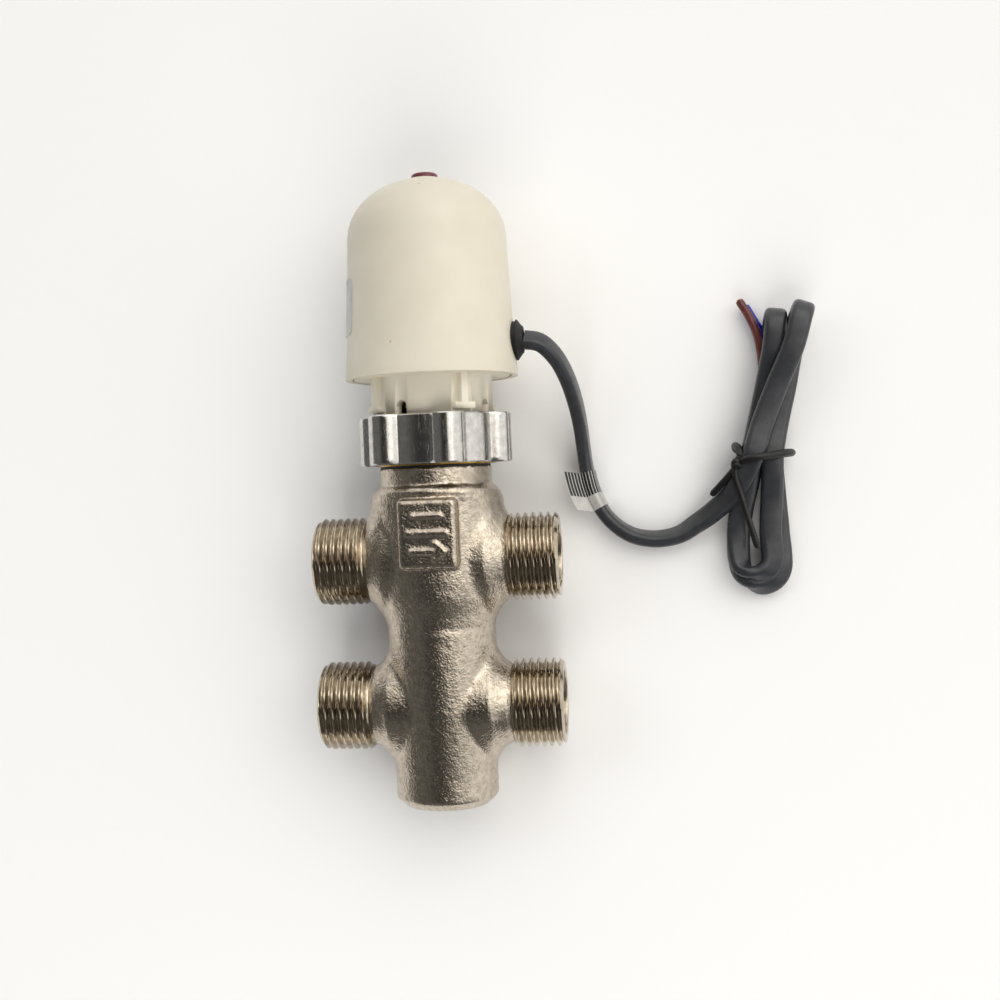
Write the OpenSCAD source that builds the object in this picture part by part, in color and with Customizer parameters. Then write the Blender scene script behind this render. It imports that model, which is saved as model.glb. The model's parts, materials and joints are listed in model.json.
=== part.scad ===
// Four-port fan coil zone valve with a thermoelectric actuator, lying on its back.
// Valve axis "z" runs from the body's foot to the actuator's dome; the row frame's +Z is up.

/* [Valve body] */
// Height of the lower pair of ports on the valve's axis
lower_port_z = 22; // [21:0.5:23]
// Distance between the lower and the upper pair of ports
port_pitch = 35; // [34:0.5:36]
// Half of the length from port face to port face
port_reach = 29.25; // [29:0.25:31]
// Radius over the thread crests of a G1/2 male port
thread_r = 10.4775; // [10.4775]
// Length of a port's thread
thread_len = 12; // [11:0.5:12.5]
// Radius of a port's mouth
mouth_r = 7.75; // [7.25:0.25:8]
// Radius of the waterways inside
water_r = 6.5; // [6:0.25:6.5]

/* [Actuator] */
// Height of the cap's rim on the valve's axis
rim_z = 100.5; // [100:0.1:101]
// Radius of the cap's rim
rim_r = 20.85; // [20.7:0.05:21]
// Radius of the cap where the dome starts
dome_r = 19.2; // [19.1:0.1:19.4]
// Height of the dome's top on the valve's axis
dome_top_z = 148.3; // [147.5:0.1:149]
// Wall of the cap
cap_wall = 1.6; // [1.4:0.1:1.6]
// Stroke of the actuator and of the valve's stem
stroke = 3.5; // [3:0.1:3.5]
// Radius of the position indicator
indicator_r = 3.2; // [3:0.1:3.4]
// Height of the indicator's end on the valve's axis
indicator_z = 150; // [149.5:0.1:150.5]

/* [Ring nut] */
// Radius between the nut's lobes
nut_valley_r = 15.9; // [15.8:0.1:16.2]
// Radius over the nut's lobes
nut_lobe_r = 19.1; // [18:0.1:19.2]
// Radius of each lobe's round end
lobe_tip_r = 4.3; // [4:0.1:4.6]
// Turn of the first lobe from the front
nut_turn = 21; // [17:1:23]

/* [Cable] */
// Width of the flat two-core cable
cable_d = 5.4; // [5:0.1:5.6]
// Height of the cable's exit on the valve's axis
exit_z = 108.8; // [107.5:0.1:110]
// Diameter of an insulated core
core_d = 2.1; // [1.9:0.1:2.2]

/* [Hidden] */
$fn = 64;

// Heights along the valve's axis
foot_z = -1.5;
upper_port_z = lower_port_z + port_pitch;
neck_z = 79;
shoulder_z = 88;
nut_z = 79.8;
nut_top_z = 91.6;
cage_z = 45;
cage_top_z = 64.5;
insert_z = 71.2;
spring_seat_z = 72.1;
cup_z = 102;
flange_z = 116.5;
bar_z = 108.5;
lid_z = 134;
retainer_z = 140;

// Shared radii and clearances
foot_r = 10.25;
foot_barrel_r = 12.25;
waist_r = 13;
chest_r = 16;
neck_r = 13.5;
cage_r = 9;
stem_r = 2;
cap_thread_r = 14.95;
run_gap = 0.05;
sleeve_r = 14.4;
e = 0.01;

// The valve rests on its foot's edge and on the cap's rim, which sets its tilt.
foot_edge_z = foot_z + 2;
rim_edge = 0.3;
tilt = atan((rim_r - foot_barrel_r) / (rim_z + rim_edge - foot_edge_z));
foot_up = foot_barrel_r * cos(tilt) - foot_edge_z * sin(tilt);
mid_y = ((indicator_z + foot_z) * cos(tilt) + (indicator_r - foot_r) * sin(tilt)) / 2;

// Places the valve's own frame: its front, -y, faces up and its axis runs along +Y.
module placed() {
    translate([0, -mid_y, foot_up]) rotate([tilt - 90, 0, 0]) children();
}

// A solid turned about the valve's axis from a profile of [radius, height] points
module turned(points, angle = 360, start = 0) {
    rotate([0, 0, start]) rotate_extrude(angle = angle, $fn = 96) polygon(points);
}

// A ring with square edges
module ring(inner, outer, low, high) {
    translate([0, 0, low]) difference() {
        cylinder(r = outer, h = high - low);
        translate([0, 0, -1]) cylinder(r = inner, h = high - low + 2);
    }
}

// An O-ring of a round section
module o_ring(middle_r, section_r, height) {
    translate([0, 0, height]) rotate_extrude() translate([middle_r, 0]) circle(r = section_r);
}

// A round bar along the x axis of the valve, from one x to another
module x_bar(r, from_x, to_x, height) {
    translate([from_x, 0, height]) rotate([0, 90, 0]) cylinder(r = r, h = to_x - from_x);
}

function unit(v) = v / norm(v);

// Sweeps one closed solid of a regular section along points.
function tangent(path, i) =
    unit(path[min(i + 1, len(path) - 1)] - path[max(i - 1, 0)]);
function side_of(t) = abs(t.z) > 0.9 ? unit(cross(t, [0, 1, 0])) : unit(cross(t, [0, 0, 1]));
module swept(path, r, sides = 8) {
    rings = [for (i = [0 : len(path) - 1])
        let (t = tangent(path, i), s = side_of(t), n = cross(s, t))
        for (k = [0 : sides - 1])
            let (a = (k + 0.5) * 360 / sides) path[i] + r * (cos(a) * s + sin(a) * n)];
    last = len(rings) - sides;
    walls = [for (i = [0 : len(path) - 2], k = [0 : sides - 1])
        let (a = i * sides + k, b = i * sides + (k + 1) % sides)
        [a, b, b + sides, a + sides]];
    polyhedron(rings, concat(walls,
        [[for (k = [sides - 1 : -1 : 0]) k]], [[for (k = [0 : sides - 1]) last + k]]));
}

// Smooth points through hand-set ones, each gap cut into steps
function between(a, b, c, d, t) = 0.5 * (2 * b + (c - a) * t
    + (2 * a - 5 * b + 4 * c - d) * t * t + (3 * b - a - 3 * c + d) * t * t * t);
function smooth(p, steps) = concat(
    [for (i = [0 : len(p) - 2], k = [0 : steps - 1])
        between(p[max(i - 1, 0)], p[i], p[i + 1], p[min(i + 2, len(p) - 1)], k / steps)],
    [p[len(p) - 1]]);

// A helical spring about the valve's axis
module coil_spring(middle_r, wire_r, low, high, turns) {
    steps = 18;
    span = high - low - 2 * wire_r;
    path = [for (i = [0 : turns * steps])
        let (a = 360 * i / steps)
        [middle_r * cos(a), middle_r * sin(a), low + wire_r + span * i / (turns * steps)]];
    swept(path, wire_r, 6);
}

// ---- Valve ----

// Outside of one port: neck, relief groove and thread envelope with chamfered ends
module port_outside(side, height) {
    neck_x = port_reach - thread_len;
    profile = [[0, 0], [12.4, 0], [12.4, 12.2], [11.2, 13.6], [10.1, 15], [9.6, 16.2],
        [9.2, 16.6], [9.2, neck_x], [9.8, neck_x], [thread_r, neck_x + 0.7],
        [thread_r, port_reach - 1], [thread_r - 1, port_reach], [0, port_reach]];
    translate([0, 0, height]) rotate([0, side * 90, 0]) turned(profile);
}

module body_outside() {
    turned([[0, foot_z], [foot_r, foot_z], [foot_barrel_r, foot_edge_z], [foot_barrel_r, 12],
        [waist_r, 13], [waist_r, 43], [13.6, 45], [15.2, 48], [chest_r, 51], [chest_r, 71.6], [15.6, 72.2],
        [15.6, 72.8], [15.2, 73.4], [neck_r, 75], [neck_r, neck_z], [0, neck_z]]);
    for (side = [-1, 1], height = [lower_port_z, upper_port_z]) port_outside(side, height);
}

// Raised panel on the chest with a plain flow arrow
module chest_panel() {
    panel = [13.4, 15.8];
    middle_z = 63.6;
    corner = 1.6;
    relief_r = chest_r + 0.9;
    intersection() {
        translate([0, 0, middle_z - panel.y / 2]) cylinder(r = relief_r, h = panel.y);
        translate([0, 0, middle_z]) rotate([90, 0, 0]) linear_extrude(20) union() {
            square([panel.x - 2 * corner, panel.y], center = true);
            square([panel.x, panel.y - 2 * corner], center = true);
            for (x = [-1, 1], y = [-1, 1])
                translate([x * (panel.x / 2 - corner), y * (panel.y / 2 - corner)])
                    circle(r = corner);
        }
    }
}

module body_waterways() {
    // foot-side run, straight through
    x_bar(water_r, -port_reach - 1, port_reach + 1, lower_port_z);
    // mouths of the four ports
    for (height = [lower_port_z, upper_port_z]) {
        x_bar(mouth_r, port_reach - 10, port_reach + 1, height);
        x_bar(mouth_r, -port_reach - 1, 10 - port_reach, height);
    }
    // left upper port into the middle of the cage, right upper port into the side channel
    x_bar(water_r, -port_reach - 1, 1 - cage_r, upper_port_z);
    x_bar(water_r, 12.5, port_reach + 1, upper_port_z);
    turned([[10.6, 50.5], [13.9, 50.5], [13.9, 70], [10.6, 70]], 110, -55);
    // riser, cage seat, upper chamber and neck
    translate([0, 0, lower_port_z]) cylinder(r = 7.5, h = cage_z - lower_port_z + 1);
    translate([0, 0, cage_z]) cylinder(r = cage_r + run_gap, h = 25);
    translate([0, 0, cage_top_z + 0.5]) cylinder(r = 12, h = neck_z - cage_top_z);
}

module valve_body() {
    color("#A59B8C") placed() difference() {
        union() {
            body_outside();
            chest_panel();
        }
        body_waterways();
    }
}

// Sleeve with both seats and four windows, pressed into the body
module seat_cage() {
    color("#B08D3C") placed() difference() {
        turned([[5.5, cage_z], [cage_r, cage_z], [cage_r, 62.2], [7.6, 62.2], [7.6, 63.8],
            [cage_r, 63.8], [cage_r, cage_top_z], [6, cage_top_z], [6, 61.5], [7, 60.5],
            [7, 50], [5.5, 48.5]]);
        for (turn = [0, 90]) rotate([0, 0, turn])
            translate([-10, -3.5, 51]) cube([20, 7, 9]);
    }
}

module cage_seal() {
    color("#1C1C1C") placed() o_ring(8.33, 0.7, 63);
}

// Screwed-in brass top with the M30 thread that carries the actuator
module headwork() {
    color("#B08D3C") placed() turned([[7, insert_z], [11.95, insert_z], [11.95, 79.5],
        [13.7, 79.5], [13.7, 82], [14.3, 82], [cap_thread_r, 82.6],
        [cap_thread_r, shoulder_z - 0.7], [14.3, shoulder_z], [8.5, shoulder_z], [8.5, 93.5],
        [6, 93.5], [6, 91.3], [3.9, 91.3], [3.9, 88.3], [stem_r + run_gap, 88.3],
        [stem_r + run_gap, 85.6], [7, 85.6]]);
}

module headwork_seal() {
    color("#161616") placed() ring(12.05, 13.3, neck_z, 79.5);
}

// Perforated washer under the stem spring, sprung into the headwork's foot
module spring_seat() {
    color("#B9B9B6") placed() difference() {
        ring(stem_r + 0.6, 6.95, insert_z, spring_seat_z);
        for (turn = [45 : 90 : 315]) rotate([0, 0, turn])
            translate([4.8, 0, insert_z - 1]) cylinder(r = 1, h = 4, $fn = 24);
    }
}

module stem_spring() {
    color("#9A9A98") placed() coil_spring(4.6, 0.5, spring_seat_z + 0.02, 79.95, 5);
}

module gland_nut() {
    color("#B08D3C") placed() difference() {
        union() {
            translate([0, 0, 91.35]) cylinder(r = 5.95, h = 2.2);
            translate([0, 0, 93.55]) cylinder(r = 6.9, h = 2.2, $fn = 6);
        }
        translate([0, 0, 90]) cylinder(r = stem_r + run_gap, h = 8);
    }
}

module stem_seals() {
    color("#1C1C1C") placed() for (height = [89.05, 90.55]) o_ring(2.9, 0.72, height);
}

// Steel stem with a collar over the upper disc and grooves for its clips
module stem() {
    groove_r = 1.5;
    color("#C4C4C2") placed() turned([[0, 38], [1.7, 38], [stem_r, 38.3], [stem_r, 38.7],
        [groove_r, 38.7], [groove_r, 39.35], [stem_r, 39.35], [stem_r, 41.45], [3.2, 41.45],
        [3.2, 42.4], [stem_r, 43.4], [stem_r, 63.7], [groove_r, 63.7], [groove_r, 64.35],
        [stem_r, 64.35], [stem_r, 66.6], [4.4, 66.6], [4.4, 67.4], [stem_r, 67.4],
        [stem_r, 80.95], [groove_r, 80.95], [groove_r, 81.6], [stem_r, 81.6],
        [stem_r, 99.3], [1.4, 99.8], [0, 99.8]]);
}

module upper_disc() {
    color("#1C1C1C") placed() ring(stem_r + 0.02, 7.6, cage_top_z + 0.05, 66.55);
}

module lower_disc() {
    color("#1C1C1C") placed() ring(stem_r + 0.02, 6.6, 39.4, 41.4);
}

// Washer that the stem spring lifts
module spring_collar() {
    color("#B9B9B6") placed() ring(stem_r + 0.02, 6.2, 80, 80.9);
}

// Three E-clips on the stem
module stem_clips() {
    thick = 0.55;
    color("#8E8E8C") placed() for (height = [38.75, 63.75, 81]) {
        translate([0, 0, height]) difference() {
            cylinder(r = 3.5, h = thick);
            translate([0, 0, -1]) cylinder(r = 1.55, h = thick + 2);
            translate([0, -1.3, -1]) cube([5, 2.6, thick + 2]);
        }
    }
}

// ---- Ring nut and snap ring ----

module ring_nut() {
    lobe_middle = nut_lobe_r - lobe_tip_r;
    color("#B9BBBE") placed() difference() {
        intersection() {
            translate([0, 0, nut_z]) union() {
                cylinder(r = nut_valley_r, h = nut_top_z - nut_z);
                for (turn = [0 : 60 : 300]) rotate([0, 0, nut_turn - 90 + turn])
                    translate([lobe_middle, 0, 0])
                        cylinder(r = lobe_tip_r, h = nut_top_z - nut_z);
            }
            turned([[0, nut_z], [18, nut_z], [nut_lobe_r + e, nut_z + 0.7],
                [nut_lobe_r + e, nut_top_z - 1.1], [17.4, nut_top_z], [0, nut_top_z]]);
        }
        turned([[0, nut_z - 1], [15.5, nut_z - 1], [15.5, nut_z], [15, nut_z + 0.6],
            [15, 88.1], [15.35, 88.1], [15.35, 90], [14.7, 90], [14.7, nut_top_z - 1.3],
            [16.3, nut_top_z], [16.3, nut_top_z + 1], [0, nut_top_z + 1]]);
    }
}

// Split wire ring that carries the nut on the base's sleeve
module snap_ring() {
    color("#9A9A98") placed()
        turned([[13.5, 89.2], [15.15, 89.2], [15.15, 89.85], [13.5, 89.85]], 336, 102);
}

// ---- Actuator ----

// Sleeve with slots and T-shaped ribs, plate and two pillars in one moulding
module actuator_base() {
    slot_w = 2.9;
    slot_top = 94.8;
    plate_z = 100.6;
    bar_low = 92.4;
    rib_proud = 1.6;
    quarter = [0 : 90 : 270];
    color("#D6CFBA") placed() difference() {
        union() {
            turned([[12, 88.05], [sleeve_r, 88.05], [sleeve_r, 89.1], [13.4, 89.1],
                [13.4, 89.95], [sleeve_r, 89.95], [sleeve_r, plate_z], [18.8, plate_z], [18.8, 101.6],
                [5, 101.6], [5, plate_z], [12, plate_z]]);
            // T-shaped ribs
            for (turn = quarter) rotate([0, 0, turn - 53]) {
                translate([13.6, -0.85, bar_low + 0.7])
                    cube([0.8 + rib_proud, 1.7, plate_z + 0.1 - bar_low - 0.7]);
                translate([13.6, -2.6, bar_low]) cube([0.8 + rib_proud, 5.2, 1.4]);
            }
            // pillars under the support bar
            for (side = [-1, 1])
                translate([-3.5, side * 14 - 2.6, 101]) cube([7, 5.2, bar_z - 101]);
        }
        // round-topped slots
        for (turn = quarter) rotate([0, 0, turn - 112]) {
            translate([10, -slot_w / 2, 87]) cube([8, slot_w, slot_top - slot_w / 2 - 87]);
            translate([10, 0, slot_top - slot_w / 2]) rotate([0, 90, 0])
                cylinder(r = slot_w / 2, h = 8);
        }
        // pilot holes for the bar's screws
        for (side = [-1, 1]) translate([0, side * 14, 103.5]) cylinder(r = 1.3, h = 9);
    }
}

// The cap's wall flares a little towards its rim.
cap_steps = [102.5, 109, 119];
function cap_r(z) = lookup(z, [[102.5, rim_r - 0.12], [109, rim_r - 0.6], [119, rim_r - 1.1],
    [dome_z, dome_r]]);

// Dome outline: a quarter of an ellipse from the straight wall to the flat top
dome_flat_r = 2;
dome_z = dome_top_z - 14.3;
function dome(wall) = [for (a = [0 : 6 : 90])
    [dome_flat_r + (dome_r - dome_flat_r - wall) * cos(a),
        dome_z + (dome_top_z - dome_z - wall) * sin(a)]];

module actuator_cap() {
    hole_r = indicator_r + 0.3;
    outside = concat([[0, rim_z], [rim_r - rim_edge, rim_z], [rim_r, rim_z + rim_edge]],
        [for (z = cap_steps) [cap_r(z), z]], dome(0), [[0, dome_top_z]]);
    inside = concat([[0, rim_z - 1], [rim_r - cap_wall, rim_z - 1]],
        [for (z = cap_steps) [cap_r(z) - cap_wall, z]], dome(cap_wall),
        [[0, dome_top_z - cap_wall]]);
    color("#E9E2CE") placed() difference() {
        union() {
            turned(outside);
            turned([[0, 147], [4, 147], [4, dome_top_z + 0.2], [3.8, dome_top_z + 0.4],
                [0, dome_top_z + 0.4]]);
        }
        turned(inside);
        translate([0, 0, 140]) cylinder(r = hole_r, h = 20);
        x_bar(4.6, 12, 25, exit_z);
    }
}

// Plain type label on the cap's left side
module type_label() {
    low = 111;
    high = 124.5;
    thick = 0.25;
    bend = cap_steps[2];
    color("#C9CCCB") placed() turned([[cap_r(low) + e, low], [cap_r(low) + thick, low],
        [cap_r(bend) + thick, bend], [cap_r(high) + thick, high], [cap_r(high) + e, high],
        [cap_r(bend) + e, bend]], 66, 147);
}

// Steel bar across the base that carries the heater and the wax element
module support_bar() {
    color("#A7A9AA") placed() difference() {
        translate([-3, -16.4, bar_z]) cube([6, 32.8, 2.5]);
        for (side = [-1, 1]) translate([0, side * 14, bar_z - 1]) cylinder(r = 1.6, h = 5);
    }
}

module bar_screws() {
    color("#8E8E8C") placed() for (side = [-1, 1]) translate([0, side * 14, 0]) {
        translate([0, 0, 104.2]) cylinder(r = 1.25, h = 7);
        difference() {
            translate([0, 0, 111.05]) cylinder(r = 2.6, h = 1.9);
            translate([-0.35, -3, 112.2]) cube([0.7, 6, 1]);
        }
    }
}

module heater_insulator() {
    color("#D9CFA8") placed() translate([0, 0, 111.02]) cylinder(r = 6.5, h = 0.46);
}

// Contact plate with its solder tab, used under and over the heater
module contact(low, tab_y) {
    color("#C9A24A") placed() {
        translate([0, 0, low]) cylinder(r = 6, h = 0.4);
        translate([4, tab_y - 1.1, low]) cube([8.5, 2.2, 0.4]);
    }
}

module lower_contact() {
    contact(111.5, -1.4);
}

module upper_contact() {
    contact(113.96, 1.4);
}

module ptc_heater() {
    color("#3C3C40") placed() translate([0, 0, 111.92]) cylinder(r = 5.5, h = 2.02);
}

module wax_element() {
    color("#B08D3C") placed() turned([[0, 114.4], [6.5, 114.4], [6.5, 127], [6, 127.6],
        [4.2, 127.6], [4.2, 130.2], [1.55, 130.2], [1.55, 125.5], [0, 125.5]]);
}

module wax_piston() {
    color("#C4C4C2") placed() translate([0, 0, 125.6])
        cylinder(r = 1.5, h = lid_z - 125.65);
}

// Cup that the wax piston lifts and the return spring presses down
module spring_cup() {
    bar_gap = 0.35;
    color("#B9BBBE") placed() difference() {
        turned([[0, cup_z], [10.2, cup_z], [10.2, flange_z], [14.3, flange_z],
            [14.3, flange_z + 1.4], [10.2, flange_z + 1.4], [10.2, lid_z - 0.05],
            [9, lid_z - 0.05], [9, cup_z + 1.8], [0, cup_z + 1.8]]);
        // the bar's passage, with room for the stroke below it
        translate([-3 - bar_gap, -12, bar_z - stroke - 0.8])
            cube([6 + 2 * bar_gap, 24, stroke + 3.9]);
        // the contact tabs' passage
        translate([5, -3, 107.2]) cube([8, 6, 7.9]);
    }
}

module pressure_pin() {
    color("#C4C4C2") placed() turned([[0, 99.9], [2.6, 99.9], [3, 100.3], [3, cup_z - 0.02],
        [0, cup_z - 0.02]]);
}

module cup_lid() {
    color("#B9BBBE") placed() turned([[0, lid_z], [10.2, lid_z], [10.2, lid_z + 1.6],
        [0, lid_z + 1.6]]);
}

module indicator_pin() {
    foot = lid_z + 1.65;
    color("#6E2A3C") placed() turned([[0, foot], [5, foot], [5, foot + 1.2],
        [indicator_r, foot + 1.2], [indicator_r, indicator_z - 0.3],
        [indicator_r - 0.3, indicator_z], [0, indicator_z]]);
}

module return_spring() {
    color("#9A9A98") placed() coil_spring(12.5, 0.9, flange_z + 1.45, retainer_z - 0.05, 6);
}

module spring_retainer() {
    color("#B9BBBE") placed() ring(9, 14.5, retainer_z, retainer_z + 1.2);
}

// Solder-tailed lead from a contact's tab to the cable's end
module lead(colour, tab_y, height) {
    path = smooth([[11.9, tab_y, height], [13, tab_y, height], [14.2, tab_y, height - 0.6],
        [14.9, tab_y, (height + exit_z) / 2], [15.9, tab_y, exit_z + 0.2],
        [17.6, tab_y, exit_z], [19.4, tab_y, exit_z]], 3);
    color(colour) placed() swept(path, 0.7, 6);
}

module lead_brown() {
    lead("#5C2C2A", -1.4, 112.65);
}

module lead_blue() {
    lead("#10109A", 1.4, 115.1);
}

// Black strain relief in the cap's wall
module cable_grommet() {
    bore_r = 2.75;
    color("#141414") placed() translate([0, 0, exit_z]) rotate([0, 90, 0])
        turned([[bore_r, 16.6], [5.6, 16.6], [5.6, 17.4], [4.5, 17.4], [4.5, 20.75],
            [4.9, 20.75], [4.9, 21.2], [3.3, exit_x], [bore_r, exit_x]]);
}

// ---- Cable ----

exit_x = 22.5;
exit_y = exit_z * cos(tilt) - mid_y;
exit_h = exit_z * sin(tilt) + foot_up;
floor_h = cable_d / 2;

// Route from the strain relief down to the floor and round to the hank
cable_points = [[exit_x, exit_y, exit_h], [26.2, 34, 21], [29.6, 31, 18.6],
    [32, 26.6, 14.6], [33.6, 21.4, 10.4], [34.6, 15.6, 6.7], [35.1, 10, 4.1],
    [35.8, 4, floor_h], [37.6, -2.6, floor_h], [41, -8.2, floor_h], [46, -12, floor_h],
    [51.8, -13.3, floor_h], [57.9, -12.6, floor_h], [63.8, -9.7, floor_h],
    [68.8, -5.6, floor_h], [72.5, -1.4, floor_h], [74.5, 1.8, floor_h]];

// The hank: a long loop of two turns, tied at its waist
hank_foot = [78, -18.6];
hank_head = [86.8, 36.8];
hank_foot_r = 9;
hank_head_r = 6.6;
hank_h = 13.6;

module cable() {
    color("#55565A") swept(smooth(cable_points, 4), cable_d / 2);
}

// Two round ends of different radii with straight sides touching both
module round_ended(a, ra, b, rb) {
    way = b - a;
    turn = atan2(way.y, way.x);
    lean = acos((ra - rb) / norm(way));
    function edge(middle, r, side) =
        middle + r * [cos(turn + side * lean), sin(turn + side * lean)];
    translate(a) circle(r = ra);
    translate(b) circle(r = rb);
    polygon([edge(a, ra, 1), edge(a, ra, -1), edge(b, rb, -1), edge(b, rb, 1)]);
}

module cable_hank() {
    color("#4A4B4F") linear_extrude(hank_h) union()
        round_ended(hank_foot, hank_foot_r, hank_head, hank_head_r);
}

module core_brown() {
    color("#5C2C2A") swept(smooth([[79, 21, 2.6], [79.2, 26, 2.6], [78.9, 31, 2.9],
        [78.3, 36.3, 3.3], [76.9, 42, 3.3], [75, 46, 3.3]], 3), core_d / 2);
}

module core_blue() {
    color("#10109A") swept(smooth([[81.4, 21, 2.2], [81.4, 26, 1.8], [80.7, 31, 1.3],
        [79.7, 36.3, 1.1], [77.4, 42, 1.1], [75.8, 44.8, 1.1]], 3), core_d / 2);
}

// Wire tie round the hank's waist with its two tails
module cable_tie() {
    wire_r = 0.9;
    color("#101010") {
        swept(smooth([[73.2, 5.6, 6], [74.2, 6.6, 9], [77.3, 6.3, 9.8], [82, 5.8, 9.8],
            [86.2, 4.8, 8.6], [87.2, 4.2, 5], [86, 4.4, 1.4], [80, 5.2, 1], [74.6, 5.4, 1.4],
            [73.2, 4.4, 4.6]], 3), wire_r, 6);
        swept(smooth([[73.2, 4, 5.4], [71.2, 1.6, 5.8], [68.8, -0.6, 6.4],
            [66.4, -2.4, 6.4]], 3), wire_r, 6);
        swept(smooth([[73, 5, 6], [72.8, 0, 8.6], [73.6, -6, 11], [75, -12, 12],
            [76.1, -16.8, 12.4]], 3), wire_r, 6);
    }
}

// Plain marker flag folded round the cable
module cable_flag() {
    color("#C9CCCB") translate([36.5, 0.8, 0.2]) rotate([0, 0, 14]) {
        difference() {
            translate([0, 5.2, 2.9]) rotate([90, 0, 0]) cylinder(r = 2.9, h = 10.4);
            translate([0, 6, 2.9]) rotate([90, 0, 0]) cylinder(r = 2.6, h = 12);
        }
        translate([-6.8, -5.2, 4.9]) rotate([0, 12, 0]) cube([6.8, 10.4, 0.3]);
    }
}

valve_body();
seat_cage();
cage_seal();
headwork();
headwork_seal();
spring_seat();
stem_spring();
gland_nut();
stem_seals();
stem();
upper_disc();
lower_disc();
spring_collar();
stem_clips();
ring_nut();
snap_ring();
actuator_base();
actuator_cap();
type_label();
support_bar();
bar_screws();
heater_insulator();
lower_contact();
ptc_heater();
upper_contact();
wax_element();
wax_piston();
spring_cup();
pressure_pin();
cup_lid();
indicator_pin();
return_spring();
spring_retainer();
lead_brown();
lead_blue();
cable_grommet();
cable();
cable_hank();
core_brown();
core_blue();
cable_tie();
cable_flag();
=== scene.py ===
import json
import math

import bmesh
import bpy
import numpy as np
import openvdb
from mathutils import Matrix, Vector, noise


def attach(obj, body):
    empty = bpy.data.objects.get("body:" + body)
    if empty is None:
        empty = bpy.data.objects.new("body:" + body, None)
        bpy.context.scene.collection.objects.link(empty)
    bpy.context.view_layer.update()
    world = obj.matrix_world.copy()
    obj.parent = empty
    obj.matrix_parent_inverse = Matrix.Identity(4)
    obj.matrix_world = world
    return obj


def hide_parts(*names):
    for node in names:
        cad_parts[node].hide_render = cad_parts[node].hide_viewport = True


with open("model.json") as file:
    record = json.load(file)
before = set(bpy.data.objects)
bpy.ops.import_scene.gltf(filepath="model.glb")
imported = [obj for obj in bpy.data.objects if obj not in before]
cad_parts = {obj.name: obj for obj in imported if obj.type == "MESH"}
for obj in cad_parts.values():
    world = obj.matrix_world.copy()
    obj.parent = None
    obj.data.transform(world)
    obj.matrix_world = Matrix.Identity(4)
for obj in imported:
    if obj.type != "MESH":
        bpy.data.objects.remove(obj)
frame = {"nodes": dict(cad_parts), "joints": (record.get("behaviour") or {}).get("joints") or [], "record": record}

bl_info = {
    "name": "Zone valve",
    "version": (1, 0, 0),
    "blender": (4, 5, 0),
    "location": "3D View > Sidebar > Zone valve",
    "description": "Detailed pieces, finishes and stage of a fan coil zone valve",
    "category": "Add Mesh",
}

# ---- The valve's own frame: millimetres, z along its axis from foot to dome, front towards -y ----

MM = 0.001
LOWER_PORT_Z, UPPER_PORT_Z = 22.0, 57.0
CABLE_EXIT_Z = 108.8
AXIS = np.array(next(j["axis"] for j in frame["joints"] if j["name"] == "actuator_lift"))
BACK = np.array((0, AXIS[2], -AXIS[1]))
SIDE = np.array((1.0, 0, 0))
PORT = next(m for m in frame["record"]["mounts"] if m["name"] == "lower_left_port_bore")
ORIGIN = np.array((0, *PORT["pos_m"][1:])) - AXIS * LOWER_PORT_Z * MM
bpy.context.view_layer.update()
SLOTS = {part["node"]: part["material_slot"] for part in frame["record"]["subparts"]}
SHARP = 35  # degrees between faces from which an edge shows as a crease
WIRE_SIDES = 14
MOST_OF_LEG = 0.45  # a curved corner takes no more than this share of the line beside it


def placed(points):
    """Points of the valve's own frame, in millimetres, as points of the row frame in metres."""
    x, y, z = np.asarray(points, float).reshape(-1, 3).T[:, :, None]
    return ORIGIN + MM * (x * SIDE + y * BACK + z * AXIS)


# ---- Shapes ----


def grid_faces(rows, columns, closed=False):
    """Quads over rows of points that go round; closed joins the last row to the first."""
    row = np.arange(rows if closed else rows - 1)[:, None]
    column = np.arange(columns)[None]
    above, beside = (row + 1) % rows, (column + 1) % columns
    corners = (row * columns + column, row * columns + beside,
               above * columns + beside, above * columns + column)
    return np.stack(corners, -1).reshape(-1, 4).tolist()


def capped_faces(rows, columns):
    """Quads over rows of points that go round, with a flat end on the first and last row."""
    last = (rows - 1) * columns
    return grid_faces(rows, columns) + [
        list(range(columns))[::-1], list(range(last, last + columns))]


def shape(name, points, faces):
    """A mesh object from points in metres, its faces turned to look outwards."""
    mesh = bpy.data.meshes.new(name)
    mesh.from_pydata(np.asarray(points).tolist(), [], faces)
    bm = bmesh.new()
    bm.from_mesh(mesh)
    bmesh.ops.recalc_face_normals(bm, faces=bm.faces)
    bm.to_mesh(mesh)
    bm.free()
    return bpy.data.objects.new(name, mesh)


def piece(name, points, faces, surface, body, nodes=(), sharp=SHARP):
    """A shape that rides on a body, stands for CAD nodes and shows a material."""
    return dressed(shape(name, points, faces), surface, body, nodes, sharp)


def dressed(obj, surface, body, nodes=(), sharp=SHARP):
    """Links an object, gives it its material, smooth shading and body, and hides the CAD nodes that it stands for."""
    bpy.context.scene.collection.objects.link(obj)
    obj.data.materials.clear()
    obj.data.materials.append(surface)
    obj.data.shade_smooth()
    obj.data.set_sharp_from_angle(angle=math.radians(sharp))
    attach(obj, body)
    if nodes:
        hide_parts(*nodes)
    return obj


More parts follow.
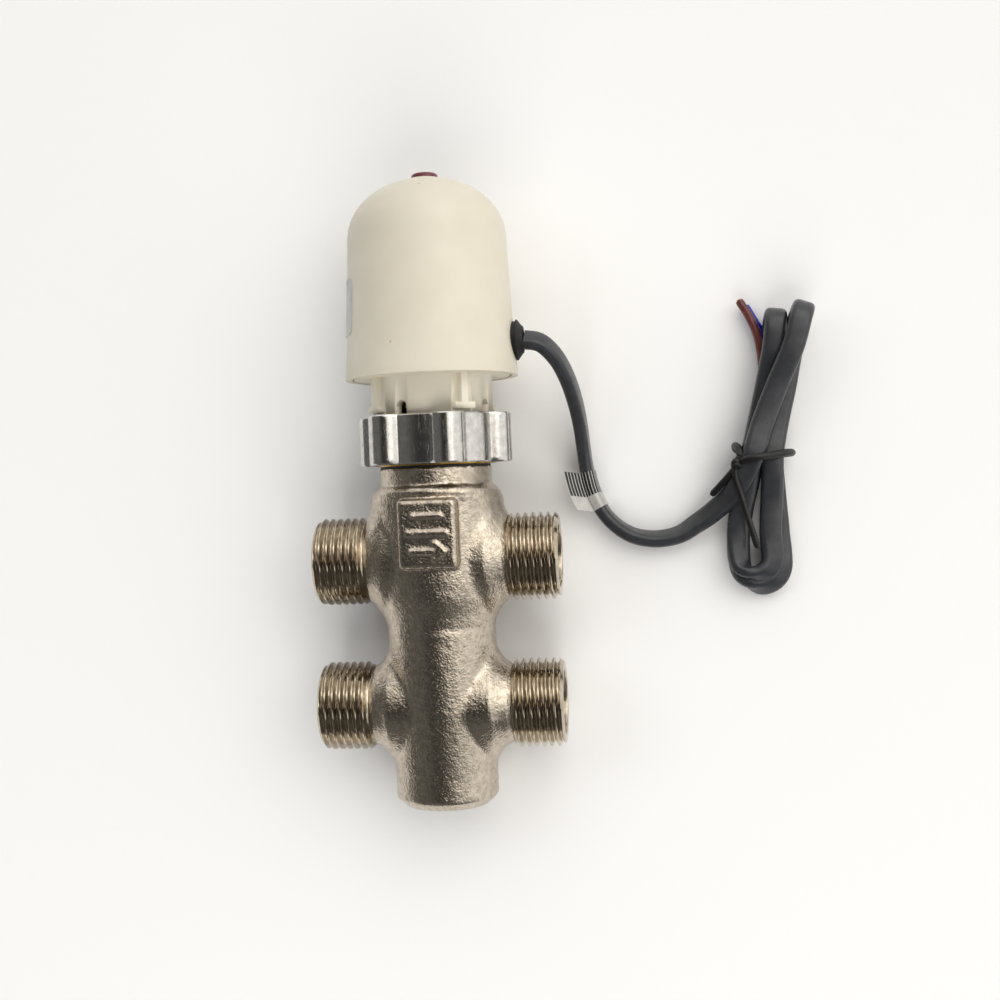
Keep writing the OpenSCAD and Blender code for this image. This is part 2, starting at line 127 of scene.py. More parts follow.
def rounded(profile, closed=True):
    """Turns (radius, height, corner) points into (radius, height) with small curved corners."""
    points = [np.array(p[:2], float) for p in profile]
    count, line = len(points), []
    for i, (point, entry) in enumerate(zip(points, profile)):
        corner = entry[2] if len(entry) > 2 else 0
        if not corner or (not closed and i in (0, count - 1)):
            line.append(point)
            continue
        ends = []
        for other in (points[i - 1], points[(i + 1) % count]):
            leg = other - point
            reach = np.linalg.norm(leg)
            ends.append(point + leg / reach * min(corner, MOST_OF_LEG * reach))
        for t in (0, 0.25, 0.5, 0.75, 1):
            line.append((1 - t) ** 2 * ends[0] + 2 * t * (1 - t) * point + t * t * ends[1])
    return np.array(line)


def turned(radii, heights, segments=128):
    """Points of a body turned about the valve's axis; radii may also change round it."""
    turn = np.linspace(0, 2 * np.pi, segments, endpoint=False)[None]
    radii = np.broadcast_to(radii, (len(radii), segments))
    heights = np.broadcast_to(heights, radii.shape)
    return np.stack((radii * np.cos(turn), radii * np.sin(turn), heights), -1).reshape(-1, 3)


def lathe(name, profile, surface, body, nodes, solid=False, segments=128, place=placed):
    """A ring, or a solid with flat ends, turned from a profile of (radius, height, corner)."""
    line = rounded(profile, closed=not solid)
    points = turned(line[:, :1], line[:, 1:], segments)
    faces = capped_faces(len(line), segments) if solid else grid_faces(len(line), segments, True)
    return piece(name, place(points), faces, surface, body, nodes)


def sleeve(parts, segments):
    """Radii and reaches of a turned skin, stacked from parts of (radii, reaches) that hold one
    value a row or one for each segment."""
    return [np.vstack([np.broadcast_to(part[i], (len(part[i]), segments)) for part in parts])
            for i in (0, 1)]


def columns_of(profile):
    """A profile of (radius, reach) rows as a pair of columns."""
    return profile[:, :1], profile[:, 1:]


def flanks(reach, turn, pitch, flat):
    """Height of a thread from 0 at its root to 1 at its crest, each flat for a share of the
    pitch."""
    rise = 1 - np.abs(2 * ((reach / pitch - turn) % 1.0) - 1)
    return np.clip((rise - flat) / (1 - 2 * flat), 0, 1)


def across(points):
    """Turned points laid along the valve's +x side at the height of the cable's exit."""
    x, y, z = np.asarray(points).T
    return placed(np.stack((z, y, CABLE_EXIT_Z + x), -1))


def cut(obj, cutter):
    """Takes the cutter's shape out of a piece and removes the cutter."""
    bpy.context.scene.collection.objects.link(cutter)
    modifier = obj.modifiers.new("cut", "BOOLEAN")
    modifier.object, modifier.solver = cutter, "EXACT"
    graph = bpy.context.evaluated_depsgraph_get()
    old, obj.data = obj.data, bpy.data.meshes.new_from_object(obj.evaluated_get(graph))
    obj.modifiers.clear()
    bpy.data.meshes.remove(old)
    bpy.data.objects.remove(cutter)
    obj.data.set_sharp_from_angle(angle=math.radians(SHARP))


def smooth_line(points, step=1.2):
    """A smooth line through rows of (x, y, z, ...) values, about step apart."""
    rows = np.asarray(points, float)
    rows = np.vstack((2 * rows[0] - rows[1], rows, 2 * rows[-1] - rows[-2]))
    line = []
    for a, b, c, d in zip(rows, rows[1:], rows[2:], rows[3:]):
        count = max(2, int(np.ceil(np.linalg.norm((c - b)[:3]) / step)))
        k = [max(np.linalg.norm((q - p)[:3]), 1e-6) ** 0.5 for p, q in ((a, b), (b, c), (c, d))]
        slope_b = (b - a) / k[0] - (c - a) / (k[0] + k[1]) + (c - b) / k[1]
        slope_c = (c - b) / k[1] - (d - b) / (k[1] + k[2]) + (d - c) / k[2]
        for t in np.arange(count) / count:
            line.append(b * (2 * t ** 3 - 3 * t ** 2 + 1) + c * (3 * t ** 2 - 2 * t ** 3)
                        + slope_b * k[1] * (t ** 3 - 2 * t ** 2 + t)
                        + slope_c * k[1] * (t ** 3 - t ** 2))
    return np.array(line + [rows[-2]])


def unit(vectors):
    """The vectors at length 1."""
    return vectors / np.linalg.norm(vectors, axis=-1, keepdims=True)


def frames(line, normals):
    """Unit tangent, side and normal at each point of a line, with the normal squared up."""
    tangent = unit(np.gradient(line, axis=0))
    normal = unit(normals - (normals * tangent).sum(1, keepdims=True) * tangent)
    return tangent, np.cross(tangent, normal), normal


def swept(line, normals, section):
    """Rows of points where a section of (side, normal) offsets, one set or one per point,
    follows a line."""
    _, side, normal = frames(line, normals)
    section = np.broadcast_to(section, (len(line), *np.shape(section)[-2:]))
    return (line[:, None] + section[..., :1] * side[:, None]
            + section[..., 1:] * normal[:, None]).reshape(-1, 3)


def round_section(radius):
    """Outline of a round wire."""
    turn = np.linspace(0, 2 * np.pi, WIRE_SIDES, endpoint=False)
    return radius * np.stack((np.cos(turn), np.sin(turn)), -1)


def flat_section(width, height, corner, arc=5):
    """Outline of a flat cable: a rectangle with round corners."""
    outline = []
    for quarter, (sx, sy) in enumerate(((1, 1), (-1, 1), (-1, -1), (1, -1))):
        for turn in np.linspace(0, np.pi / 2, arc) + quarter * np.pi / 2:
            outline.append((sx * (width / 2 - corner) + corner * math.cos(turn),
                            sy * (height / 2 - corner) + corner * math.sin(turn)))
    return np.array(outline)


def round_wire(name, points, radius, surface, body, nodes=(), up=(0.1, 0.2, 1),
               ends=0.6):
    """A round wire along points in millimetres of the row frame, with rounded ends."""
    line = smooth_line(points, 0.8)
    reach = np.minimum(np.arange(len(line)), np.arange(len(line))[::-1])[:, None, None]
    section = round_section(radius) * np.where(reach == 0, ends, 1.0)
    skin = swept(line, np.tile(up, (len(line), 1)), section)
    return piece(name, MM * skin, capped_faces(len(line), WIRE_SIDES), surface, body, nodes)


# ---- Finishes ----

WAVE_SCALE = 0.314  # a wave texture of this scale repeats once in one unit
SPECK_REACH = 0.035  # share of the specks' spacing that one speck covers

def linear(hex_colour):
    """An sRGB hex colour as linear RGBA."""
    parts = [int(hex_colour[i:i + 2], 16) / 255 for i in (1, 3, 5)]
    return [p / 12.92 if p <= 0.04045 else ((p + 0.055) / 1.055) ** 2.4 for p in parts] + [1.0]


def add(tree, kind, inputs=None, **settings):
    """Adds a node with its settings, values and links."""
    node = tree.nodes.new("ShaderNode" + kind)
    for key, value in settings.items():
        setattr(node, key, value)
    for key, value in (inputs or {}).items():
        if isinstance(value, bpy.types.NodeSocket):
            tree.links.new(value, node.inputs[key])
        else:
            node.inputs[key].default_value = value
    return node


def finish(name, colours, roughness, metallic=0.0, ior=None, mottle=3.0, mottle_edges=(0.35, 0.65),
           grain=None, ripple=None, lines=None, specks=None, scratches=None, stretch=(1, 1, 1),
           subsurface=0.0):
    """A material: two colours mottled at a size in millimetres, roughness that varies between
    two values, and optional (size, height) of grain and ripple, (axis, spacing, height) of
    lines, (spacing, colour) of specks and (strength, colour) of scratches. The mottle's edges
    say how sharply the two colours part, and stretch draws the pattern out along x, y or z."""
    material = bpy.data.materials.new(name)
    material.use_nodes = True
    tree = material.node_tree
    shader = tree.nodes["Principled BSDF"]
    shader.inputs["Metallic"].default_value = metallic
    if ior:
        shader.inputs["IOR"].default_value = ior
    if subsurface:
        shader.inputs["Subsurface Weight"].default_value = subsurface
        shader.inputs["Subsurface Scale"].default_value = 1.0 * MM
    place = add(tree, "TexCoord").outputs["Object"]
    spread = add(tree, "Mapping", {"Vector": place, "Scale": stretch}).outputs["Vector"]

    cloud = add(tree, "TexNoise", {"Vector": spread, "Scale": 1 / (mottle * MM), "Detail": 4.0})
    share = add(tree, "MapRange", {"Value": cloud.outputs["Fac"], "From Min": mottle_edges[0],
                                   "From Max": mottle_edges[1]}).outputs["Result"]
    colour = add(tree, "Mix", {"Factor": share, "A": linear(colours[0]),
                               "B": linear(colours[1])}, data_type="RGBA").outputs["Result"]
    rough = add(tree, "MapRange", {"Value": cloud.outputs["Fac"], "From Min": 0.3,
                                   "From Max": 0.7, "To Min": roughness[0],
                                   "To Max": roughness[1]}).outputs["Result"]
    reliefs = []
    for size, height in filter(None, (ripple, grain)):
        bumps = add(tree, "TexNoise", {"Vector": spread, "Scale": 1 / (size * MM),
                                       "Detail": 2.0, "Roughness": 0.55})
        reliefs.append((bumps.outputs["Fac"], height))
    if lines:
        direction, spacing, height = lines
        tilt = math.asin(AXIS[2])
        level = add(tree, "Mapping", {"Vector": place, "Rotation": (-tilt, 0, 0)})
        wave = add(tree, "TexWave", {
            "Vector": level.outputs["Vector"], "Scale": WAVE_SCALE / (spacing * MM),
            "Distortion": 0.6, "Detail": 2.0}, wave_type="BANDS", bands_direction=direction)
        reliefs.append((wave.outputs["Fac"], height))
    normal = None
    for relief, height in reliefs:
        links = {"Height": relief, "Distance": height * MM}
        if normal:
            links["Normal"] = normal
        normal = add(tree, "Bump", links).outputs["Normal"]
    if scratches:
        strength, tint = scratches
        for turn, long_way in ((0.4, 22.0), (-1.1, 17.0)):
            hair = add(tree, "Mapping", {"Vector": place, "Rotation": (0.2, 0.1, turn),
                                         "Scale": (1.0, 1 / long_way, 1.0)})
            marks = add(tree, "TexNoise", {"Vector": hair.outputs["Vector"],
                                           "Scale": 1 / (0.35 * MM), "Detail": 3.0})
            mask = add(tree, "MapRange", {"Value": marks.outputs["Fac"], "From Min": 0.6,
                                          "From Max": 0.7}).outputs["Result"]
            amount = add(tree, "Math", {0: mask, 1: strength}, operation="MULTIPLY")
            colour = add(tree, "Mix", {"Factor": amount.outputs[0], "A": colour,
                                       "B": linear(tint)}, data_type="RGBA").outputs["Result"]
            rough = add(tree, "Math", {0: rough, 1: amount.outputs[0]}).outputs[0]
    if specks:
        spacing, tint = specks
        dots = add(tree, "TexVoronoi", {"Vector": place, "Scale": 1 / (spacing * MM)})
        mask = add(tree, "Math", {0: dots.outputs["Distance"], 1: SPECK_REACH},
                   operation="LESS_THAN").outputs[0]
        colour = add(tree, "Mix", {"Factor": mask, "A": colour, "B": linear(tint)},
                     data_type="RGBA").outputs["Result"]
    tree.links.new(colour, shader.inputs["Base Color"])
    tree.links.new(rough, shader.inputs["Roughness"])
    if normal:
        tree.links.new(normal, shader.inputs["Normal"])
    return material


FINISHES = {
    # Hot-forged brass, blasted and satin nickel plated: warm grey metal whose pebbled skin,
    # half a millimetre a pebble, breaks every reflection into light and dark flecks.
    "nickel_plated_blasted_forging": dict(
        colours=("#CDC2B2", "#B3A898"), metallic=1.0, roughness=(0.16, 0.24), mottle=1.2,
        grain=(0.5, 0.14), ripple=(1.5, 0.05)),
    # The same plating over cut threads: smooth and brighter, with fine tool lines.
    "nickel_plated_turned_brass": dict(
        colours=("#C9BEAC", "#B0A492"), metallic=1.0, roughness=(0.12, 0.2), mottle=2.0,
        lines=("X", 0.3, 0.003)),
    # Brass turned on a lathe: yellow metal with fine rings.
    "turned_brass": dict(
        colours=("#C4A04A", "#A8862F"), metallic=1.0, roughness=(0.2, 0.32), mottle=3.0,
        lines=("Y", 0.3, 0.005)),
    # Aluminium turned and milled, scuffed by spanners and storage: bright, with hair scratches.
    "milled_aluminium": dict(
        colours=("#D8D5D0", "#C4C2BE"), metallic=1.0, roughness=(0.13, 0.22), mottle=1.6,
        scratches=(0.16, "#8C8B88"), grain=(0.35, 0.012)),
    # ABS moulded against a finely sparked tool: soft satin cream with a faint even grain, drawn
    # at 0.3 mm where the real one is near 0.1 mm, and a few moulded-in specks.
    "moulded_cream_abs": dict(
        colours=("#DAD4C3", "#D6D0BE"), roughness=(0.42, 0.5), ior=1.54, mottle=9.0,
        grain=(0.3, 0.008), specks=(9.0, "#B9AF98"), subsurface=0.06),
    # Unpainted polyamide moulding: a shade greyer and a little glossier than the cap.
    "moulded_cream_polyamide": dict(
        colours=("#E8E2D1", "#E2DBC8"), roughness=(0.36, 0.46), ior=1.53, mottle=6.0,
        grain=(0.4, 0.01), subsurface=0.06),
    # Coloured polyamide pin: deep maroon with a dull moulded sheen.
    "moulded_maroon_polyamide": dict(
        colours=("#72303F", "#662637"), roughness=(0.34, 0.44), ior=1.53, mottle=1.5,
        grain=(0.25, 0.006)),
    # PVC drawn through a die: dark satin grey, softly mottled, with a faint pebbled skin.
    "extruded_grey_pvc": dict(
        colours=("#323438", "#2A2B2F"), roughness=(0.27, 0.36), ior=1.53, mottle=2.4,
        grain=(0.5, 0.012)),
    # The cores' insulation: the same PVC in full colours.
    "extruded_brown_pvc": dict(
        colours=("#6A3330", "#542723"), roughness=(0.3, 0.4), ior=1.53, mottle=1.6,
        grain=(0.4, 0.008)),
    "extruded_blue_pvc": dict(
        colours=("#1414A8", "#0B0B86"), roughness=(0.3, 0.4), ior=1.53, mottle=1.6,
        grain=(0.4, 0.008)),
    # Copper strands: warm metal, drawn bright.
    "drawn_copper": dict(
        colours=("#C77B52", "#A85F3C"), metallic=1.0, roughness=(0.22, 0.34), mottle=0.6),
    # Vinyl-coated twist tie: black with a dull plastic gloss.
    "coated_tie_wire": dict(
        colours=("#0B0B0B", "#060606"), roughness=(0.42, 0.56), ior=1.53, mottle=1.2,
        grain=(0.5, 0.012)),
    # Elastomer bush: matt black with a powdery bloom.
    "moulded_black_rubber": dict(
        colours=("#0E0E0E", "#080808"), roughness=(0.55, 0.7), ior=1.52, mottle=1.4,
        grain=(0.3, 0.012)),
    # Rubber seals: black, smooth from the mould.
    "moulded_epdm": dict(
        colours=("#1C1C1C", "#111111"), roughness=(0.5, 0.62), ior=1.52, mottle=1.0,
        grain=(0.25, 0.01)),
    # Spring steel wire and clips: cool grey, slightly oily.
    "drawn_spring_steel": dict(
        colours=("#A6A6A4", "#85858A"), metallic=1.0, roughness=(0.24, 0.36), mottle=1.0),
    # Stainless steel turned on a lathe: pale and bright, with fine rings.
    "turned_stainless_steel": dict(
        colours=("#CACAC8", "#B2B2B0"), metallic=1.0, roughness=(0.16, 0.26), mottle=2.0,
        lines=("Y", 0.3, 0.004)),
    # Zinc-plated pressings: pale bluish grey with cloudy crystals.
    "zinc_plated_steel": dict(
        colours=("#B5B8BA", "#9CA0A4"), metallic=1.0, roughness=(0.28, 0.42), mottle=1.6,
        grain=(0.5, 0.01)),
    # Pressed insulating board: straw yellow, fibrous.
    "pressed_insulating_board": dict(
        colours=("#DDD3AC", "#CFC395"), roughness=(0.6, 0.75), ior=1.5, mottle=1.0,
        grain=(0.3, 0.02), stretch=(1, 0.3, 1)),
    # Bronze strip stamped into contacts: smooth yellow metal.
    "stamped_contact_bronze": dict(
        colours=("#CFA850", "#B8903C"), metallic=1.0, roughness=(0.2, 0.34), mottle=1.8),
    # Sintered ceramic: dark grey, matt and sandy.
    "sintered_ceramic": dict(
        colours=("#434347", "#343438"), roughness=(0.7, 0.85), ior=1.6, mottle=0.8,
        grain=(0.2, 0.02)),
    # Metallised film: silvery grey and almost flat.
    "metallised_label_film": dict(
        colours=("#BDBCB8", "#AEADA9"), roughness=(0.3, 0.42), metallic=0.3, mottle=4.0,
        ripple=(3.0, 0.02)),
}

SLOT_FINISHES = {
    "nickel_brass": "nickel_plated_blasted_forging", "brass": "turned_brass",
    "seal_rubber": "moulded_epdm", "spring_steel": "drawn_spring_steel",
    "stainless": "turned_stainless_steel", "zinc_steel": "zinc_plated_steel",
    "aluminium": "milled_aluminium", "cap_plastic": "moulded_cream_abs",
    "base_plastic": "moulded_cream_polyamide", "indicator_plastic": "moulded_maroon_polyamide",
    "insulation": "pressed_insulating_board", "contact_bronze": "stamped_contact_bronze",
    "heater_ceramic": "sintered_ceramic", "grommet_rubber": "moulded_black_rubber",
    "cable_jacket": "extruded_grey_pvc", "brown_insulation": "extruded_brown_pvc",
    "blue_insulation": "extruded_blue_pvc", "tie_plastic": "coated_tie_wire",
    "label_film": "metallised_label_film",
}


def material(name):
    """The finish of that name, made when it is first asked for."""
    return bpy.data.materials.get(name) or finish(name, **FINISHES[name])


# ---- Settings that a user would change ----


def length(name, description, millimetres, **limits):
    """A length that a user may change, given in millimetres and held in metres."""
    return bpy.props.FloatProperty(name=name, description=description, unit="LENGTH",
                                   default=millimetres * MM, **limits)


class ValveSettings(bpy.types.PropertyGroup):
    """Sizes of the valve's body and threads"""

    grid: length("Body grid", "Spacing of the grid that the body is formed on", 0.42,
                 min=0.3 * MM, max=1.0 * MM)
    port_fillet: length("Port fillet", "Size of the soft join of a port and the barrel", 4.6)
    skin: length("Forged skin", "Height of the uneven forged skin", 0.045)
    thread_pitch: length("Port thread pitch", "Pitch of the G1/2 port threads", 1.814)
    thread_radius: length("Port thread radius", "Radius over the port threads' crests", 10.4775)
    thread_depth: length("Port thread depth", "Depth of the port threads", 1.162)


class ActuatorSettings(bpy.types.PropertyGroup):
    """Sizes of the actuator and its ring nut"""

    rim_radius: length("Rim radius", "Radius of the cap's rim", 20.85)
    wall: length("Cap wall", "Wall of the cap", 1.6)
    lobe_radius: length("Lobe radius", "Radius over the nut's lobes", 19.1)
    valley_radius: length("Valley radius", "Radius between the nut's lobes", 15.9)


class CableSettings(bpy.types.PropertyGroup):
    """Sizes of the cable and its tie"""

    width: length("Cable width", "Width of the flat cable", 5.4)
    height: length("Cable height", "Height of the flat cable", 3.2)
    core_radius: length("Core radius", "Radius of an insulated core", 1.05)
    tie_radius: length("Tie radius", "Radius of the tie wire", 0.9)


class StageSettings(bpy.types.PropertyGroup):
    """Floor and light"""

    floor_colour: bpy.props.StringProperty(
        name="Floor colour", description="Colour of the floor, as sRGB hex", default="#F4F4F4")
    key_power: bpy.props.FloatProperty(
        name="Key light", description="Power of the large soft light", default=5.5,
        unit="POWER")
    sky_strength: bpy.props.FloatProperty(
        name="Room light", description="Strength of the light from the room", default=1.15)


# ---- Stage ----


class OBJECT_OT_valve_stage(bpy.types.Operator):
    """Adds the floor, the room's light, the soft lights and the camera"""

    bl_idname = "object.valve_stage"
    bl_label = "Stage"

    def execute(self, context):
        settings = context.scene.valve_stage
        scene = context.scene
        scene.view_settings.view_transform = "Standard"
        self.camera(scene)
        self.floor(settings)
        self.room(scene, settings)
        self.lights(scene, settings)
        return {"FINISHED"}

    def camera(self, scene):
        data = bpy.data.cameras.new("camera")
        data.lens, data.sensor_width = 46.15, 36.0
        data.shift_x, data.shift_y = 0.01789, -0.02228
        data.clip_start, data.clip_end = 0.01, 10.0
        camera = bpy.data.objects.new("camera", data)
        camera.location = (0.05033, -0.02539, 0.32348)
        camera.rotation_euler = (0.08576, 0.13018, -0.02836)
        scene.collection.objects.link(camera)
        scene.camera = camera

    def floor(self, settings):
        half = 1.5
        corners = [(-half, -half, 0), (half, -half, 0), (half, half, 0), (-half, half, 0)]
        mesh = bpy.data.meshes.new("floor")
        mesh.from_pydata(corners, [], [(0, 1, 2, 3)])
        floor = bpy.data.objects.new("floor", mesh)
        floor.location.z = -0.0002
        paper = bpy.data.materials.new("matt_paper")
        paper.use_nodes = True
        shader = paper.node_tree.nodes["Principled BSDF"]
        shader.inputs["Base Color"].default_value = linear(settings.floor_colour)
        shader.inputs["Roughness"].default_value = 0.9
        shader.inputs["Specular IOR Level"].default_value = 0.1
        mesh.materials.append(paper)
        bpy.context.scene.collection.objects.link(floor)

    def room(self, scene, settings):
        world = bpy.data.worlds.new("room")
        world.use_nodes = True
        tree = world.node_tree
        direction = add(tree, "TexCoord").outputs["Generated"]
        split = add(tree, "SeparateXYZ", {"Vector": direction})
        # bright windows ahead and to the right, a dim wall behind and to the left, and a dark
        # patch overhead where a person would stand
        right_share, dim, overhead = 0.75, 0.14, 0.2
        slant = add(tree, "Math", {0: split.outputs["X"], 1: right_share}, operation="MULTIPLY")
        ahead = add(tree, "Math", {0: split.outputs["Y"], 1: slant.outputs[0]})
        light = add(tree, "MapRange", {"Value": ahead.outputs[0], "From Min": -0.2,
                                       "From Max": 0.4, "To Min": dim, "To Max": 1.0},
                    interpolation_type="SMOOTHSTEP")
        shade = add(tree, "MapRange", {"Value": split.outputs["Z"], "From Min": 0.72,
                                       "From Max": 0.97, "To Min": settings.sky_strength,
                                       "To Max": overhead * settings.sky_strength},
                    interpolation_type="SMOOTHSTEP")
        strength = add(tree, "Math", {0: light.outputs["Result"], 1: shade.outputs["Result"]},
                       operation="MULTIPLY")
        background = tree.nodes["Background"]
        background.inputs["Color"].default_value = linear("#FBFAF7")
        tree.links.new(strength.outputs[0], background.inputs["Strength"])
        scene.world = world

    def lights(self, scene, settings):
        target = Vector((0.02, 0.0, 0.01))
        for name, place, size, share, colour, mirrored in (
                ("key", (0.45, 0.4, 0.9), 1.1, 0.85, "#FFFAF3", True),
                ("side", (-0.7, 0.3, 0.8), 0.5, 0.25, "#F4F6FF", False),
                ("front", (0.15, -0.8, 0.7), 0.9, 1.15, "#FFFCF8", False)):
            data = bpy.data.lights.new(name, "AREA")
            data.size, data.energy = size, settings.key_power * share
            data.color = linear(colour)[:3]
            light = bpy.data.objects.new(name, data)
            light.location = place
            light.visible_glossy = mirrored  # the front light is bounced, with nothing to mirror
            light.rotation_euler = (target - Vector(place)).to_track_quat("-Z", "Y").to_euler()
            scene.collection.objects.link(light)


# ---- Cable ----

UP, DOWN = (0, 0, 1), (0, 0, -1)
# Loose run from the strain relief down to the floor and round to the hank, in millimetres:
# x, y, z and the turn of the flat face in degrees, 0 facing sideways and 90 facing up.
LOOSE_RUN = (
    (22.5, 34.725, 21.457, 45), (26.2, 34, 21, 42), (29.6, 31, 18.6, 36), (32, 26.6, 14.6, 28),
    (33.6, 21.4, 10.4, 20), (34.6, 15.6, 6.7, 12), (35.1, 10, 4.3, 8), (35.8, 4, 3.15, 8),
    (37.6, -2.6, 3.1, 10), (41, -8.2, 2.95, 14), (46, -12, 2.75, 20), (51.8, -13.3, 2.6, 26),
    (57.9, -12.4, 2.6, 32), (62, -10, 3, 42), (66, -7.4, 4.2, 56), (70, -3.9, 6.6, 72),
    (72.6, -0.8, 8.6, 84))


def loose_rows():
    """The loose run as rows of place and normal of the flat face."""
    places = np.array([row[:3] for row in LOOSE_RUN], float)
    tangent = unit(np.gradient(places, axis=0))
    left = unit(np.cross(UP, tangent))
    turn = np.radians([row[3] for row in LOOSE_RUN])[:, None]
    normal = np.cos(turn) * left + np.sin(turn) * np.array(UP)
    return np.hstack((places, normal)).tolist()


def straight(points, normal):
    """Rows of a run whose flat face looks one way."""
    return [(*point, *normal) for point in points]


def head_fold(middle, radius, direction):
    """Half a turn over the far end of the hank, from the upper layer to the lower."""
    rows = []
    for turn in np.radians((72, 36, 0, -36, -72)):
        normal = (math.cos(turn) * direction[0], math.cos(turn) * direction[1], math.sin(turn))
        rows.append((*(np.array(middle) + radius * np.array(normal)), *normal))
    return rows


def foot_loop(middle, half_gap, depth, height):
    """Half a turn at the near end of the hank, from right to left, rolling over as it goes."""
    rows = []
    for turn, roll in zip(np.radians((15, 50, 90, 130, 165)), np.radians((72, 52, 36, -12, -62))):
        outward = (math.cos(turn), -math.sin(turn))
        place = (middle[0] + half_gap * outward[0], middle[1] + depth * outward[1], height)
        rows.append((*place, -math.cos(roll) * outward[0], -math.cos(roll) * outward[1],
                     -math.sin(roll)))
    return rows


def cable_rows():
    """The whole cable as rows of place and normal: the loose run, then two turns of a hank."""
    return (
        loose_rows()
        + straight(((75.9, 5.5, 10.6), (78.6, 13.3, 10), (82.6, 22.8, 10.6), (86.7, 31.8, 12)), UP)
        + head_fold((88.4, 37.6, 7.7), 4.4, (0.35, 0.937))
        + straight(((86.6, 30, 4.6), (85.1, 23.3, 5.1), (82.6, 13.5, 5.6), (81, 6, 7.1),
                    (80.8, 1.5, 6.8), (80.4, -5.2, 5.6), (79.8, -12.5, 5.4)), DOWN)
        + foot_loop((76.0, -18.6), 4.0, 4.3, 5.2)
        + straight(((72, -13.2, 5.1), (72.7, -8, 5.3), (74, -3, 5.9), (75.8, 5.5, 7.1),
                    (78, 13.8, 6.4), (80.5, 24, 7), (82.2, 31.8, 8.6)), UP)
        + head_fold((83, 37.3, 5.5), 3.5, (0.13, 0.991))
        + straight(((83.5, 29.5, 1.9), (83.6, 23.5, 1.7), (82.2, 13.5, 1.9), (81.2, 5.5, 3.5),
                    (81.6, -3.5, 1.9), (82, -12, 2)), DOWN)
        + foot_loop((77.3, -20.2), 4.9, 5.3, 2.9)
        + straight(((72.4, -13.5, 2), (73.6, -6.5, 1.9), (75.2, -0.5, 2.2), (76.5, 5.5, 3.5),
                    (78.2, 14, 1.9), (79.8, 19.5, 1.7), (81, 24.5, 1.7)), UP))


